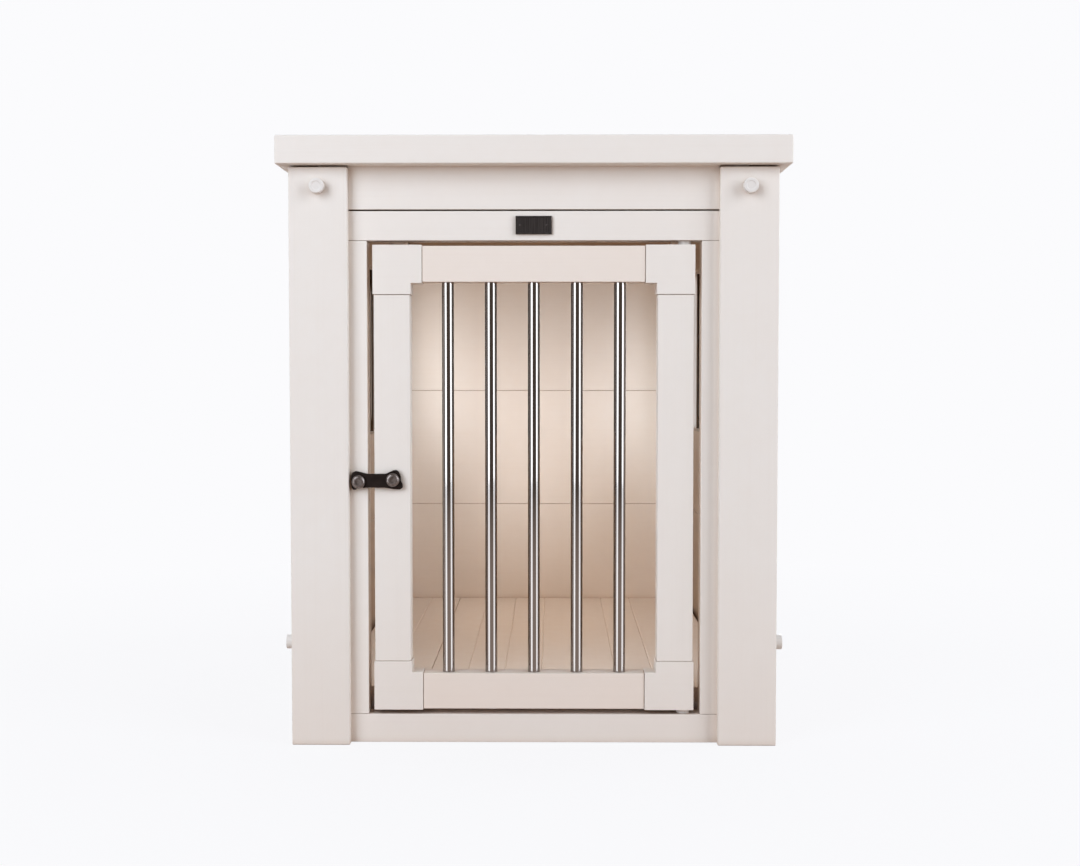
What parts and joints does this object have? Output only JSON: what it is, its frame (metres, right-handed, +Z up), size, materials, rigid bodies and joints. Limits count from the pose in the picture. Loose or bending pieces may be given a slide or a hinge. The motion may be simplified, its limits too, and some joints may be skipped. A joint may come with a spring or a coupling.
{
  "type": "rabbit hutch",
  "caption": "Furniture-style indoor rabbit hutch: white composite cabinet with an overhanging top, square corner posts, barred side windows and a barred hinged front door with a hook link latch",
  "frame": {"origin": "on the floor under the middle of the top", "axes": "+X to the right as one faces the door, +Y from the door to the back, +Z up"},
  "size_m": [0.48, 0.63, 0.573],
  "materials": {
    "composite_white": "satin off-white wood-polymer composite",
    "spindle_steel": "brushed stainless tube",
    "latch_metal": "dark bronze",
    "plaque_metal": "dark, plain",
    "knob_plastic": "moulded white",
    "bush_plastic": "moulded white"
  },
  "bodies": {
    "cabinet": {"top_panel": "composite_white", "top_edge_front": "composite_white", "top_edge_rear": "composite_white", "top_edge_left": "composite_white", "top_edge_right": "composite_white", "top_cleat_left": "composite_white", "top_cleat_right": "composite_white", "post_front_left": "composite_white", "post_front_right": "composite_white", "post_rear_left": "composite_white", "post_rear_right": "composite_white", "header_board": "composite_white", "frame_rail_top": "composite_white", "frame_rail_bottom": "composite_white", "frame_stile_left": "composite_white", "frame_stile_right": "composite_white", "side_rail_top_left": "composite_white", "side_rail_middle_left": "composite_white", "side_rail_bottom_left": "composite_white", "side_rail_top_right": "composite_white", "side_rail_middle_right": "composite_white", "side_rail_bottom_right": "composite_white", "side_panel_left": "composite_white", "side_panel_right": "composite_white", "side_grille_left": "spindle_steel", "side_grille_right": "spindle_steel", "back_rail_bottom": "composite_white", "back_plank_1": "composite_white", "back_plank_2": "composite_white", "back_plank_3": "composite_white", "back_plank_4": "composite_white", "floor_plank_left": "composite_white", "floor_plank_centre": "composite_white", "floor_plank_right": "composite_white", "floor_batten_front": "composite_white", "hinge_bush_top": "bush_plastic", "hinge_bush_bottom": "bush_plastic", "thumb_screw_front_left": "knob_plastic", "thumb_screw_front_right": "knob_plastic", "thumb_screw_side_left": "knob_plastic", "thumb_screw_side_right": "knob_plastic", "name_plaque": "plaque_metal", "latch_stud_frame": "latch_metal"},
    "door": {"door_rail_top": "composite_white", "door_rail_bottom": "composite_white", "door_stile_left": "composite_white", "door_stile_right": "composite_white", "door_corner_top_left": "composite_white", "door_corner_top_right": "composite_white", "door_corner_bottom_left": "composite_white", "door_corner_bottom_right": "composite_white", "door_spindle_1": "spindle_steel", "door_spindle_2": "spindle_steel", "door_spindle_3": "spindle_steel", "door_spindle_4": "spindle_steel", "door_spindle_5": "spindle_steel", "hinge_pin_top": "spindle_steel", "hinge_pin_bottom": "spindle_steel", "latch_stud_door": "latch_metal"},
    "latch": {"latch_link": "latch_metal"}
  },
  "joints": [
    {"name": "door_hinge", "type": "hinge", "parent": "cabinet", "child": "door", "pos_m": [0.1427, -0.2842, 0.2526], "axis": [0, 0, 1], "range_deg": [0, 100]},
    {"name": "latch_turn", "type": "hinge", "parent": "door", "child": "latch", "pos_m": [-0.133, -0.2947, 0.2518], "axis": [0, 1, 0], "range_deg": [0, 100]}
  ]
}
